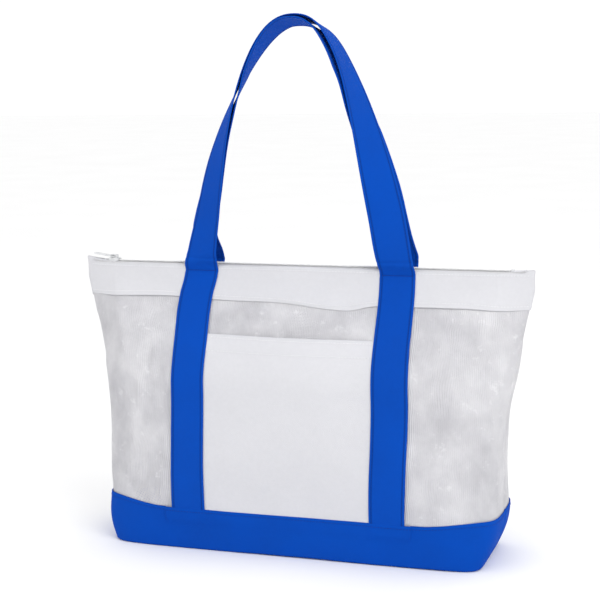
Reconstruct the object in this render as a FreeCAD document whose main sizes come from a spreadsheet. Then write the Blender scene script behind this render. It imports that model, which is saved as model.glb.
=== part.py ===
import FreeCAD, Part
import math
import os
import re

import Sketcher
from FreeCAD import Placement, Rotation, Vector

# Zippered mesh beach bag, standing upright and closed. Millimetres, +Z up, +X to the right,
# -Y towards the front. The origin is the middle of the bottom, on the ground.
#
# The walls are thin panels that follow one outline: at each height it is a superellipse whose
# half length, half depth and squareness change smoothly from the bottom to the closed zip.
# A panel's "offset" is its distance outside that outline, so layers stack without touching.

FRONT = -1
BACK = 1
LEFT = -1
RIGHT = 1
SIDE_NAMES = {FRONT: "front", BACK: "back"}
HAND_NAMES = {LEFT: "left", RIGHT: "right"}

DIMENSIONS = (
    # the bag's outline
    ("top_width", 508.0, "width along the closed zip"),
    ("fabric_height", 306.0, "height of the fabric's top edge"),
    ("belly_length", 440.0, "length just above the base band"),
    ("bottom_length", 412.0, "length of the flat bottom"),
    ("bottom_depth", 120.0, "depth of the flat bottom"),
    ("ridge_depth", 18.0, "depth at the closed zip"),
    ("shoulder_height", 182.0, "height where the walls start to lean in"),
    ("flare_power", 2.05, "how late the ends flare out to the top width"),
    # fabric layers
    ("base_height", 46.0, "height of the coloured base band"),
    ("band_height", 38.0, "height of the plain top band"),
    ("seam_lap", 12.0, "how far the mesh is tucked behind base and band"),
    ("fabric", 1.0, "thickness of one layer of fabric or mesh"),
    ("layer_gap", 0.25, "air between two layers"),
    ("side_gap", 1.0, "gap between front and back panels at a side seam"),
    ("binding_width", 9.0, "seam allowance bound with tape, inside"),
    ("binding_thickness", 1.6, "thickness of the bound seam allowance"),
    # pocket
    ("pocket_top", 238.0, "height of the pocket's open edge"),
    ("pocket_tuck", 6.0, "how far the pocket's edges lie under the straps"),
    ("pocket_bulge", 10.0, "how far the pocket's open edge stands off the wall"),
    # straps and handles
    ("strap_width", 38.0, "webbing width"),
    ("strap_thickness", 1.5, "webbing thickness"),
    ("strap_spacing", 221.0, "distance between the two straps' centres"),
    ("handle_rise", 264.0, "front handle loop's height above the fabric's top edge"),
    ("handle_nesting", 12.0, "back handle loop's distance inside the front one"),
    # zip
    ("tape_length", 488.0, "length of the zip tapes"),
    ("tape_thickness", 0.8, "thickness of the zip tapes"),
    ("tape_reach", 7.2, "distance of a tape's sewn edge from the middle"),
    ("coil_length", 457.0, "length of the zip's coil"),
    ("coil_width", 2.4, "width of one half of the coil"),
    ("coil_height", 2.2, "height of the coil"),
    ("zip_gap", 1.2, "gap between the two halves of the zip"),
    ("slider_length", 13.0, "length of the slider"),
    ("slider_width", 8.8, "width of the slider"),
    ("slider_plate", 1.2, "thickness of the slider's plates"),
    ("slider_station", -220.0, "where the slider rests, along the zip"),
    ("slider_clearance", 0.4, "running clearance round coil and tape"),
    ("bail_height", 3.7, "height of the slider's bail"),
    ("bail_length", 8.4, "length of the bail"),
    ("bail_width", 2.4, "width of the bail"),
    ("bail_bar", 1.3, "thickness of the bail's legs and bridge"),
    ("tab_length", 25.0, "length of the pull tab beyond its crossbar"),
    ("tab_width", 7.0, "width of the pull tab"),
    ("tab_thickness", 1.4, "thickness of the pull tab"),
    ("tab_eye", 4.7, "length of the pull tab's eye"),
    ("tab_tilt", 172.0, "rest angle of the pull tab, from flat to the right, in degrees"),
)

SHEET = "Dimensions"
SQUARE_TOP = 3.2        # superellipse exponent at the top, where the ends are round
SQUARE_EXTRA = 4.8      # added at the bottom, where the corners are boxed
SQUARE_FADE = 55.0      # height over which the boxed corners soften
BELLY = 3.0             # outward bulge of the front and back walls
TWIST_PEAK = 92.0       # degrees the handle webbing has turned at its apex
TWIST_SKEW = 8.0        # how much more it turns on the left leg than on the right
TWIST_POWER = 0.9       # how early the turn happens
ARCH_POWER = 2.4        # exponent of the handle's arch
NESTING_HEIGHT = 80.0   # height over which the back handle closes in behind the front one
FOOT_HEIGHT = 45.0      # height over which a loop's sections turn from level to square
LOOP_SECTIONS = 45
WALL_POINTS = 43
FINE_STEPS = 400
STATION = 11.0          # spacing in height of the sections that all panels share
HINGE_GAP = 0.4         # air between a sewn strap and the loop above it
TACK = Vector(32.0, 0.5, 2.5)   # one bar tack across a strap
TACK_DROP = 9.0         # bar tack's distance below the fabric's top edge
STOP = Vector(3.0, 6.0, 2.4)    # a zip stop clamped on the coil's end
END_TAB = Vector(12.0, 9.0, 1.0)   # a fabric tab over the zip's end
TAB_HOLE = 1.3          # radius of the hole in the pull tab's tip
ROUNDING = 1.0          # radius on the small metal parts

document = FreeCAD.newDocument("BeachBag")
sheet = document.addObject("Spreadsheet::Sheet", SHEET)
for row, (alias, value, meaning) in enumerate(DIMENSIONS, start=1):
    sheet.set(f"A{row}", meaning)
    sheet.set(f"B{row}", str(value))
    sheet.setAlias(f"B{row}", alias)
document.recompute()

subparts = []


def size(alias):
    """The sheet's value for one driving dimension."""
    return float(getattr(sheet, alias))


# ---------------------------------------------------------------- the bag's outline


def half_length(height):
    """Half the bag's length at a height: boxed in at the base, flared towards the zip."""
    belly = size("belly_length") / 2
    if height <= size("base_height"):
        rise = math.sin(math.pi / 2 * height / size("base_height"))
        bottom = size("bottom_length") / 2
        return bottom + (belly - bottom) * rise
    climb = (height - size("base_height")) / (size("fabric_height") - size("base_height"))
    return belly + (size("top_width") / 2 - belly) * climb ** size("flare_power")


def half_depth(height):
    """Half the bag's depth at a height: full up to the shoulder, then closing to the zip."""
    full = size("bottom_depth") / 2
    ridge = size("ridge_depth") / 2
    shoulder = size("shoulder_height")
    if height <= shoulder:
        return full + BELLY * math.sin(math.pi * height / shoulder) ** 2
    lean = (height - shoulder) / (size("fabric_height") - shoulder)
    return ridge + (full - ridge) * (1 + math.cos(math.pi * lean)) / 2


def squareness(height):
    """Superellipse exponent of the outline at a height."""
    return SQUARE_TOP + SQUARE_EXTRA * math.exp(-height / SQUARE_FADE)


def wall_depth(x, height, offset):
    """Distance of the wall from the middle plane, at a place along the bag."""
    exponent = squareness(height)
    along = min(abs(x) / (half_length(height) + offset), 1.0)
    return (half_depth(height) + offset) * (1 - along ** exponent) ** (1 / exponent)


def outline_point(side, angle, height, offset):
    """A point of the outline, seen from the middle at an angle from the left seam."""
    exponent = squareness(height)
    along = math.cos(angle)
    across = math.sin(angle)
    share_long = (abs(along) / (half_length(height) + offset)) ** exponent
    share_deep = (abs(across) / (half_depth(height) + offset)) ** exponent
    reach = (share_long + share_deep) ** (-1 / exponent)
    return Vector(-reach * along, side * reach * across, height)


def smooth_share(value):
    """A smooth step from 0 to 1 as the value goes from 0 to 1."""
    share = min(max(value, 0.0), 1.0)
    return share * share * (3 - 2 * share)


def spread(low, high, count):
    """Evenly spaced values from low to high."""
    return [low + (high - low) * step / (count - 1) for step in range(count)]


def even_steps(place, low, high, count):
    """Values from low to high whose places along a curve are evenly spaced."""
    fine = spread(low, high, FINE_STEPS)
    travelled = [0.0]
    for first, second in zip(fine, fine[1:]):
        travelled.append(travelled[-1] + place(first).distanceToPoint(place(second)))
    values = []
    index = 0
    for goal in spread(0, travelled[-1], count):
        while index < len(fine) - 2 and travelled[index + 1] < goal:
            index += 1
        share = (goal - travelled[index]) / (travelled[index + 1] - travelled[index])
        values.append(fine[index] + (fine[index + 1] - fine[index]) * share)
    return values


def wall_curve(side, height, offset):
    """The outline of one side of the bag, from its left seam to its right seam."""
    first = math.atan(size("side_gap") / 2 / (half_length(height) + offset))

    def place(angle):
        return outline_point(side, angle, height, offset)

    return [place(angle) for angle in even_steps(place, first, math.pi - first, WALL_POINTS)]


def stations(low, high):
    """Heights of a panel's sections: its two edges and the shared steps between them."""
    between = []
    step = math.ceil(low / STATION)
    while step * STATION < high - STATION / 3:
        if step * STATION > low + STATION / 3:
            between.append(step * STATION)
        step += 1
    return [low] + between + [high]


# ---------------------------------------------------------------- shapes


def curve_edge(points):
    """A smooth edge through points."""
    curve = Part.BSplineCurve()
    curve.interpolate(points)
    return curve.toShape()


def strip_section(outside, inside):
    """A closed section between an outer and an inner row of points."""
    return Part.Wire([
        curve_edge(outside),
        Part.makeLine(outside[-1], inside[-1]),
        curve_edge(inside[::-1]),
        Part.makeLine(inside[0], outside[0]),
    ])


def wall_panel(side, low, high, inner, outer):
    """One side's panel of the wall, from seam to seam."""
    sections = []
    for height in stations(low, high):
        outside = wall_curve(side, height, outer)
        inside = wall_curve(side, height, inner)
        sections.append(strip_section(outside, inside))
    return Part.makeLoft(sections, True, False)


def patch_section(side, left, right, height, inner, outer, points):
    """A section of a narrow panel; its offsets are functions of the place along the bag."""
    outside = []
    inside = []
    for x in spread(left, right, points):
        outside.append(Vector(x, side * wall_depth(x, height, outer(x)), height))
        inside.append(Vector(x, side * wall_depth(x, height, inner(x)), height))
    return strip_section(outside, inside)


def add_shape(label, shape):
    """A sub-part whose shape is made by Part's own functions."""
    feature = document.addObject("Part::Feature", label)
    feature.Label = label
    feature.Shape = shape
    feature.Placement = Placement()
    subparts.append(feature)
    return feature


# ---------------------------------------------------------------- fabric panels


def cover_offsets():
    """Inner and outer offset of a layer sewn onto the mesh."""
    inner = size("layer_gap")
    return inner, inner + size("fabric")


def add_walls(side):
    """Base, mesh, top band and band facing of one side."""
    name = SIDE_NAMES[side]
    base = size("base_height")
    top = size("fabric_height")
    band = top - size("band_height")
    lap = size("seam_lap")
    cover_inner, cover_outer = cover_offsets()
    facing_outer = -size("fabric") - size("layer_gap")
    facing_inner = facing_outer - size("fabric")
    add_shape(f"base_{name}_panel", wall_panel(side, 0, base, cover_inner, cover_outer))
    add_shape(f"mesh_{name}_panel", wall_panel(side, base - lap, band + lap, -size("fabric"), 0))
    add_shape(f"top_band_{name}", wall_panel(side, band, top, cover_inner, cover_outer))
    add_shape(f"top_facing_{name}", wall_panel(side, band, top, facing_inner, facing_outer))


def bottom_outline(offset, height):
    """The whole outline of the flat bottom, closed."""
    front = wall_curve(FRONT, 0, offset)
    back = wall_curve(BACK, 0, offset)
    outline = Part.Wire([
        curve_edge(front),
        Part.makeLine(front[-1], back[-1]),
        curve_edge(back[::-1]),
        Part.makeLine(back[0], front[0]),
    ])
    outline.translate(Vector(0, 0, height))
    return outline


def add_bottom():
    """The flat bottom panel and the bound seam allowance that runs round it inside."""
    fabric = size("fabric")
    panel = Part.Face(bottom_outline(0, 0)).extrude(Vector(0, 0, fabric))
    add_shape("base_bottom_panel", panel)
    outer = -fabric - size("layer_gap")
    height = fabric + size("layer_gap")
    ring = Part.Face(bottom_outline(outer, height))
    hole = Part.Face(bottom_outline(outer - size("binding_width"), height))
    binding = ring.cut(hole).extrude(Vector(0, 0, size("binding_thickness")))
    add_shape("bottom_seam_binding", binding)


def add_side_binding(hand):
    """The bound seam allowance of one side seam, standing into the bag."""
    half = size("binding_thickness") / 2
    recess = 2 * (size("fabric") + size("layer_gap")) + size("layer_gap")
    low = size("fabric") + size("binding_thickness") + 3 * size("layer_gap")
    sections = []
    for height in stations(low, size("fabric_height") - size("seam_lap")):
        outer = hand * (half_length(height) - recess)
        inner = outer - hand * size("binding_width")
        corners = [
            Vector(outer, -half, height),
            Vector(outer, half, height),
            Vector(inner, half, height),
            Vector(inner, -half, height),
        ]
        sections.append(Part.makePolygon(corners + corners[:1]))
    add_shape(f"side_seam_binding_{HAND_NAMES[hand]}", Part.makeLoft(sections, True, False))


def add_pocket():
    """The flat front pocket: sewn at its sides and bottom, open and standing off at its top."""
    half = size("strap_spacing") / 2 - size("strap_width") / 2 + size("pocket_tuck")
    bottom = size("base_height") + size("layer_gap")
    top = size("pocket_top")
    cover_inner, cover_outer = cover_offsets()
    sections = []
    for height in stations(bottom, top):
        share = math.sin(math.pi / 2 * (height - bottom) / (top - bottom))

        def stand_off(x):
            return size("pocket_bulge") * share * (1 - (x / half) ** 2) ** 2

        def inner(x):
            return cover_inner + stand_off(x)

        def outer(x):
            return cover_outer + stand_off(x)

        sections.append(patch_section(FRONT, -half, half, height, inner, outer, 15))
    add_shape("pocket_panel", Part.makeLoft(sections, True, False))


# ---------------------------------------------------------------- straps and handle loops


def strap_offset():
    """Inner offset of a sewn strap, which lies over the pocket's edges and the top band."""
    return cover_offsets()[1] + size("layer_gap")


def hinge_height():
    """Height of a free loop's foot, just above the fabric's top edge."""
    return size("fabric_height") + HINGE_GAP / 2


def add_sewn_strap(side, hand):
    """One strap, sewn to the wall from the base band's edge to the top of the bag."""
    centre = hand * size("strap_spacing") / 2
    half = size("strap_width") / 2
    low = size("base_height") + size("layer_gap")

    def inner(x):
        return strap_offset()

    def outer(x):
        return strap_offset() + size("strap_thickness")

    sections = []
    for height in stations(low, hinge_height() - HINGE_GAP):
        section = patch_section(side, centre - half, centre + half, height, inner, outer, 5)
        sections.append(section)
    shape = Part.makeLoft(sections, True, False)
    add_shape(f"strap_{SIDE_NAMES[side]}_{HAND_NAMES[hand]}", shape)


def foot_depth():
    """Distance of a loop's foot, in the middle of its thickness, from the middle plane."""
    middle = strap_offset() + size("strap_thickness") / 2
    return wall_depth(size("strap_spacing") / 2, hinge_height(), middle)


def loop_station(turn):
    """Centre, inner-edge direction and outward normal of the front loop's webbing.

    The turn runs from 0 at the left foot to pi at the right foot.
    """
    half = size("strap_spacing") / 2
    reach = abs(math.cos(turn))
    rise = size("handle_rise") * (1 - reach ** ARCH_POWER)
    centre = Vector(-half * math.cos(turn), -foot_depth(), hinge_height() + rise)
    run = half * math.sin(turn)
    climb = size("handle_rise") * ARCH_POWER * reach ** (ARCH_POWER - 1) * math.sin(turn)
    climb = math.copysign(climb, math.cos(turn))
    tangent = Vector(run, 0, climb)
    if tangent.Length < 1e-9:
        tangent = Vector(half, 0, size("handle_rise") * ARCH_POWER * math.copysign(1, math.cos(turn)))
    tangent.normalize()
    inward = Vector(tangent.z, 0, -tangent.x)
    upright = smooth_share(rise / FOOT_HEIGHT)
    level = Vector(math.copysign(1, math.cos(turn)), 0, 0)
    inward = inward * upright + level * (1 - upright)
    inward.normalize()
    share = (rise / size("handle_rise")) ** TWIST_POWER
    twist = math.radians((TWIST_PEAK + TWIST_SKEW * math.cos(turn)) * share)
    forward = Vector(0, -1, 0)
    width = inward * math.cos(twist) + forward * math.sin(twist)
    outward = forward * math.cos(twist) - inward * math.sin(twist)
    return centre, width, outward, rise


def add_loop(side):
    """One free handle loop; the back one is nested inside the front one."""
    half_width = size("strap_width") / 2
    half_thickness = size("strap_thickness") / 2
    sections = []

    def place(turn):
        return loop_station(turn)[0]

    for turn in even_steps(place, 0, math.pi, LOOP_SECTIONS):
        centre, width, outward, rise = loop_station(turn)
        if side == BACK:
            closing = smooth_share(rise / NESTING_HEIGHT)
            apart = 2 * foot_depth() * (1 - closing) + size("handle_nesting") * closing
            centre = centre - outward * apart
        across = width * half_width
        through = outward * half_thickness
        corners = [
            centre + across + through,
            centre - across + through,
            centre - across - through,
            centre + across - through,
        ]
        sections.append(Part.makePolygon(corners + corners[:1]))
    add_shape(f"handle_{SIDE_NAMES[side]}_loop", Part.makeLoft(sections, True, False))


def add_bar_tacks(side):
    """The two bar tacks that close the sewing of one side's straps, under the top edge."""
    tacks = []
    height = size("fabric_height") - TACK_DROP
    outer = strap_offset() + size("strap_thickness") + size("layer_gap")
    for hand in (LEFT, RIGHT):
        tack = document.addObject("Part::Box", f"tack_{SIDE_NAMES[side]}_{HAND_NAMES[hand]}")
        tack.Length = TACK.x
        tack.Width = TACK.y
        tack.Height = TACK.z
        centre = hand * size("strap_spacing") / 2
        near = wall_depth(abs(centre) - TACK.x / 2, height, outer)
        start = near if side == BACK else -near - TACK.y
        tack.Placement = Placement(Vector(centre - TACK.x / 2, start, height), Rotation())
        tacks.append(tack)
    group = document.addObject("Part::Compound", f"bar_tacks_{SIDE_NAMES[side]}")
    group.Links = tacks
    group.Label = f"bar_tacks_{SIDE_NAMES[side]}"
    subparts.append(group)


# ---------------------------------------------------------------- zip

TAPE_LOW = "(fabric_height + layer_gap)"
COIL_LOW = "(fabric_height + 2 * layer_gap + tape_thickness)"
COIL_HIGH = "(fabric_height + 2 * layer_gap + tape_thickness + coil_height)"
PLATE_TOP = f"({COIL_HIGH} + slider_clearance + slider_plate)"
SLIDER_LOW = "(fabric_height + layer_gap - slider_clearance - slider_plate)"
PIVOT = f"({PLATE_TOP} + 0.82 * tab_thickness)"


def in_sheet(expression):
    """An expression with each driving dimension's name pointed at the sheet."""
    return re.sub("[a-z_]+", lambda word: f"<<{SHEET}>>.{word.group()}", expression)


def bind(feature, path, expression):
    """Bind a property to an expression in the sheet's dimensions."""
    feature.setExpression(path, in_sheet(expression))


def add_box(name, length, width, height, corner):
    """A box bound to the sheet; its corner is three expressions."""
    box = document.addObject("Part::Box", name)
    bind(box, "Length", length)
    bind(box, "Width", width)
    bind(box, "Height", height)
    for axis, place in zip("xyz", corner):
        bind(box, f".Placement.Base.{axis}", place)
    return box


def add_zip_half(side):
    """The tape and the coil of one side of the zip."""
    name = SIDE_NAMES[side]
    tape_width = "(tape_reach - zip_gap / 2)"
    tape_start = "zip_gap / 2" if side == BACK else "-tape_reach"
    corner = ("-tape_length / 2", tape_start, TAPE_LOW)
    tape = add_box(f"zip_tape_{name}", "tape_length", tape_width, "tape_thickness", corner)
    coil_start = "zip_gap / 2" if side == BACK else "-zip_gap / 2 - coil_width"
    corner = ("-coil_length / 2", coil_start, COIL_LOW)
    coil = add_box(f"zip_coil_{name}", "coil_length", "coil_width", "coil_height", corner)
    subparts.extend([tape, coil])


def add_zip_ends(hand):
    """The stop clamped on one end of the coil, and the fabric tab sewn over the zip's end."""
    stop_start = "coil_length / 2 + 0.5" if hand == RIGHT else f"-coil_length / 2 - 0.5 - {STOP.x}"
    corner = (stop_start, f"-{STOP.y / 2}", COIL_LOW)
    stop_name = "zip_bottom_stop" if hand == RIGHT else "zip_top_stop"
    stop = add_box(stop_name, f"{STOP.x}", f"{STOP.y}", f"{STOP.z}", corner)
    tab_start = f"tape_length / 2 - {END_TAB.x}" if hand == RIGHT else "-tape_length / 2"
    corner = (tab_start, f"-{END_TAB.y / 2}", COIL_LOW)
    tab_name = f"zip_end_tab_{HAND_NAMES[hand]}"
    tab = add_box(tab_name, f"{END_TAB.x}", f"{END_TAB.y}", f"{END_TAB.z}", corner)
    subparts.extend([stop, tab])


def add_slider():
    """The slider: two plates joined by a thin web between the coil's halves, with side flanges."""
    start = "slider_station - slider_length / 2"
    block_height = f"({PLATE_TOP} - {SLIDER_LOW})"
    corner = (start, "-slider_width / 2", SLIDER_LOW)
    block = add_box("slider_block", "slider_length", "slider_width", block_height, corner)
    rounded = document.addObject("Part::Fillet", "slider_rounded")
    rounded.Base = block
    document.recompute()
    upright = []
    for number, edge in enumerate(block.Shape.Edges, start=1):
        ends = [vertex.Point for vertex in edge.Vertexes]
        if abs(ends[0].z - ends[1].z) > size("slider_plate"):
            upright.append((number, 1.8 * ROUNDING, 1.8 * ROUNDING))
    rounded.Edges = upright
    web = "(zip_gap / 2 - slider_clearance / 2)"
    channel_low = f"({SLIDER_LOW} + slider_plate)"
    channel_height = f"({COIL_HIGH} + slider_clearance - {channel_low})"
    channel_width = f"(zip_gap / 2 + coil_width + slider_clearance - {web})"
    slot_height = f"({COIL_LOW} + slider_clearance - layer_gap - {channel_low})"
    tools = []
    for side in (FRONT, BACK):
        name = SIDE_NAMES[side]
        channel_start = web if side == BACK else f"-{web} - {channel_width}"
        corner = (start, channel_start, channel_low)
        tools.append(add_box(f"slider_channel_{name}", "slider_length", channel_width, channel_height, corner))
        slot_start = web if side == BACK else f"-{web} - slider_width"
        corner = (start, slot_start, channel_low)
        tools.append(add_box(f"slider_slot_{name}", "slider_length", "slider_width", slot_height, corner))
    channels = document.addObject("Part::MultiFuse", "slider_channels")
    channels.Shapes = tools
    slider = document.addObject("Part::Cut", "slider_body")
    slider.Base = rounded
    slider.Tool = channels
    slider.Label = "slider_body"
    subparts.append(slider)


def origin_plane(body, role):
    """One of a body's own origin planes."""
    for feature in body.Origin.OriginFeatures:
        if feature.Role == role:
            return feature
    raise RuntimeError(f"no plane {role}")


def rectangle_sketch(body, name, plane, low_x, high_x, low_y, high_y):
    """A rectangle whose four sides are placed by expressions."""
    sketch = body.newObject("Sketcher::SketchObject", name)
    sketch.AttachmentSupport = [(origin_plane(body, plane), "")]
    sketch.MapMode = "FlatFace"
    corners = [Vector(0, 0), Vector(1, 0), Vector(1, 1), Vector(0, 1)]
    for number in range(4):
        sketch.addGeometry(Part.LineSegment(corners[number], corners[(number + 1) % 4]))
    for number in range(4):
        sketch.addConstraint(Sketcher.Constraint("Coincident", number, 2, (number + 1) % 4, 1))
        sketch.addConstraint(Sketcher.Constraint(("Horizontal", "Vertical")[number % 2], number))
    sides = (
        ("DistanceX", 0, 1, "low_x", low_x),
        ("DistanceX", 1, 1, "high_x", high_x),
        ("DistanceY", 0, 1, "low_y", low_y),
        ("DistanceY", 2, 1, "high_y", high_y),
    )
    for kind, line, end, label, expression in sides:
        index = sketch.addConstraint(Sketcher.Constraint(kind, -1, 1, line, end, 0.5))
        sketch.renameConstraint(index, label)
        bind(sketch, f"Constraints.{label}", expression)
    return sketch


def circle_sketch(body, name, plane, along, radius):
    """A circle on the first axis of a plane."""
    sketch = body.newObject("Sketcher::SketchObject", name)
    sketch.AttachmentSupport = [(origin_plane(body, plane), "")]
    sketch.MapMode = "FlatFace"
    sketch.addGeometry(Part.Circle(Vector(1, 0), Vector(0, 0, 1), radius))
    sketch.addConstraint(Sketcher.Constraint("PointOnObject", 0, 3, -1))
    sketch.addConstraint(Sketcher.Constraint("Radius", 0, radius))
    index = sketch.addConstraint(Sketcher.Constraint("DistanceX", -1, 1, 0, 3, 1.0))
    sketch.renameConstraint(index, "along")
    bind(sketch, "Constraints.along", along)
    return sketch


def pad(body, sketch, length):
    """A pad to both sides of its sketch."""
    feature = body.newObject("PartDesign::Pad", f"{sketch.Name}_pad")
    feature.Profile = sketch
    feature.Midplane = True
    bind(feature, "Length", length)
    sketch.Visibility = False
    return feature


def cut_through(body, sketch):
    """A pocket through the whole body, both ways from its sketch."""
    feature = body.newObject("PartDesign::Pocket", f"{sketch.Name}_cut")
    feature.Profile = sketch
    feature.Type = "ThroughAll"
    feature.Midplane = True
    sketch.Visibility = False
    return feature


def round_edges(body, base, radius, wanted):
    """A fillet on those edges of a body whose two ends pass a test."""
    document.recompute()
    names = []
    for number, edge in enumerate(base.Shape.Edges, start=1):
        ends = [vertex.Point for vertex in edge.Vertexes]
        if len(ends) == 2 and wanted(ends[0], ends[1]):
            names.append(f"Edge{number}")
    fillet = body.newObject("PartDesign::Fillet", f"{body.Name}_fillet")
    fillet.Base = (base, names)
    fillet.Radius = radius
    return fillet


def new_body(label):
    """An empty body that becomes a sub-part."""
    body = document.addObject("PartDesign::Body", label)
    body.Label = label
    subparts.append(body)
    return body


def add_bail():
    """The bail: a small staple on the slider's top plate that holds the pull tab's crossbar."""
    body = new_body("slider_bail")
    half = "bail_length / 2"
    outline = rectangle_sketch(body, "bail_outline", "XZ_Plane", f"-{half}", half, "0", "bail_height")
    pad(body, outline, "bail_width")
    inner = f"({half} - bail_bar)"
    top = "(bail_height - bail_bar)"
    window = rectangle_sketch(body, "bail_window", "XZ_Plane", f"-{inner}", inner, "-1", top)
    opened = cut_through(body, window)

    def outer_shoulder(first, second):
        high = min(first.z, second.z) > size("bail_height") - 0.01
        across = abs(first.y - second.y) > size("bail_width") / 2
        return high and across

    round_edges(body, opened, ROUNDING, outer_shoulder)
    bind(body, ".Placement.Base.x", "slider_station")
    bind(body, ".Placement.Base.z", PLATE_TOP)


def add_pull_tab():
    """The pull tab, whose crossbar turns under the bail; it rests laid back to the left."""
    body = new_body("pull_tab")
    half_bar = "(tab_thickness / 2)"
    half_width = "(tab_width / 2)"
    outline = rectangle_sketch(
        body, "tab_outline", "XY_Plane", f"-{half_bar}", "tab_length", f"-{half_width}", half_width
    )
    pad(body, outline, "tab_thickness")
    eye = rectangle_sketch(
        body, "tab_eye_outline", "XY_Plane", half_bar, f"{half_bar} + tab_eye",
        "-0.8 * bail_width", "0.8 * bail_width"
    )
    cut_through(body, eye)
    hole = circle_sketch(body, "tab_hole", "XY_Plane", "tab_length - tab_width / 2", TAB_HOLE)
    pierced = cut_through(body, hole)

    def tip_corner(first, second):
        far = min(first.x, second.x) > size("tab_length") - 0.01
        upright = abs(first.z - second.z) > size("tab_thickness") / 2
        return far and upright

    round_edges(body, pierced, 2.5 * ROUNDING, tip_corner)
    body.Placement = Placement(Vector(), Rotation(Vector(0, -1, 0), size("tab_tilt")))
    bind(body, ".Placement.Base.x", "slider_station")
    bind(body, ".Placement.Base.z", PIVOT)


# ---------------------------------------------------------------- assembly and export


def build():
    """All sub-parts of the bag."""
    add_bottom()
    for side in (FRONT, BACK):
        add_walls(side)
        for hand in (LEFT, RIGHT):
            add_sewn_strap(side, hand)
        add_loop(side)
        add_bar_tacks(side)
        add_zip_half(side)
    add_pocket()
    for hand in (LEFT, RIGHT):
        add_side_binding(hand)
        add_zip_ends(hand)
    add_slider()
    add_bail()
    add_pull_tab()
    document.recompute()


def check():
    """Stop if any object failed, or any sub-part is empty or not valid."""
    for item in document.Objects:
        if "Invalid" in item.State or "Error" in item.State:
            raise RuntimeError(f"{item.Label} failed: {item.State}")
    for item in subparts:
        shape = item.Shape
        if shape.isNull() or not shape.isValid() or shape.Volume <= 0:
            raise RuntimeError(f"{item.Label} has no valid shape")
        box = shape.BoundBox
        print(f"{item.Label:26s} {shape.Volume:10.1f} mm3  solids {len(shape.Solids)}  "
              f"x {box.XMin:.1f}..{box.XMax:.1f}  y {box.YMin:.1f}..{box.YMax:.1f}  "
              f"z {box.ZMin:.1f}..{box.ZMax:.1f}")


def export():
    """One STEP file for each sub-part, named after its node."""
    os.makedirs("parts", exist_ok=True)
    for item in subparts:
        item.Shape.exportStep(f"parts/{item.Label}.step")


build()
check()
export()
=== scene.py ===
import math

import bmesh
import bpy
from mathutils import Euler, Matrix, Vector, noise


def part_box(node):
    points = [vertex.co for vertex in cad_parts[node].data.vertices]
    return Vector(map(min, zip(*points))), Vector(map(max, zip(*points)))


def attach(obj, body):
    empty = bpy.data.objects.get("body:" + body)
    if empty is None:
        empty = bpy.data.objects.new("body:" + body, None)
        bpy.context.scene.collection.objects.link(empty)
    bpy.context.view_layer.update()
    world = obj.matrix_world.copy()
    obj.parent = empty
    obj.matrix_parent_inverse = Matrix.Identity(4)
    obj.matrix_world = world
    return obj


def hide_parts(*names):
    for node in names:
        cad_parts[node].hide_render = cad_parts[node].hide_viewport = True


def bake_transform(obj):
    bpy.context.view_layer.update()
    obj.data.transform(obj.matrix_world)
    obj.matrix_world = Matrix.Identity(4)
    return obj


# Looks of a zippered mesh beach bag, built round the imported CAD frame. Metres, +Z up,
# +X to the right, -Y towards the front, where the pocket is. The origin is on the ground.

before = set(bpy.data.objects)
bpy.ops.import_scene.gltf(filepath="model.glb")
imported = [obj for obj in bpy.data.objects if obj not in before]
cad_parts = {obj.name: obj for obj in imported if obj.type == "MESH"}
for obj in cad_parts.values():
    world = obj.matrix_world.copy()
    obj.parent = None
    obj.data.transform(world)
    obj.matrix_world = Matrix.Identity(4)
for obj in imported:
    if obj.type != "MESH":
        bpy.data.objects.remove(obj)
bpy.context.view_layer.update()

FRONT = -1
BACK = 1
LEFT = -1
RIGHT = 1
SIDE_NAMES = {FRONT: "front", BACK: "back"}
HAND_NAMES = {LEFT: "left", RIGHT: "right"}
MM = 0.001
UP = Vector((0, 0, 1))

# ---------------------------------------------------------------- sizes from the frame

COVER_OFFSET = 1.25 * MM  # outer face of the layers sewn onto the mesh
BASE_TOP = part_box("base_front_panel")[1].z
BAND_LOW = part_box("top_band_front")[0].z
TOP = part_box("top_band_front")[1].z
HALF_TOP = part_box("top_band_front")[1].x - COVER_OFFSET
HALF_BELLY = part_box("base_front_panel")[1].x - COVER_OFFSET
HALF_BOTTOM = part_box("base_bottom_panel")[1].x
FULL_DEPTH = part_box("base_bottom_panel")[1].y
POCKET_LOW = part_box("pocket_panel")[0].z
POCKET_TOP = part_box("pocket_panel")[1].z - 2.5 * MM  # its open edge sags a little
POCKET_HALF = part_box("pocket_panel")[1].x
STRAP_LOW, STRAP_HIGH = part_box("strap_front_right")
STRAP_X = (STRAP_LOW.x + STRAP_HIGH.x) / 2
STRAP_HALF = (STRAP_HIGH.x - STRAP_LOW.x) / 2
FOOT_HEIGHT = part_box("handle_front_loop")[0].z
TAPE_LOW, TAPE_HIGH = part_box("zip_tape_back")
COIL_LOW, COIL_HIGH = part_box("zip_coil_back")

# ---------------------------------------------------------------- the bag's outline
# A pair with a name in _START or _END is a place and a length: the smooth step that begins
# at the place, or the one that ends there, takes that length.

# the outline that every wall layer follows, as in the CAD source
RIDGE_DEPTH = 9 * MM  # half depth at the closed zip
SHOULDER = 182 * MM  # height where the walls start to lean in
FLARE_POWER = 2.05
BELLY = 3 * MM
SQUARE_TOP = 3.2
SQUARE_EXTRA = 6.8  # the CAD source has 4.8; a little crisper at the bottom corners
SQUARE_FADE = 55 * MM

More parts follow.
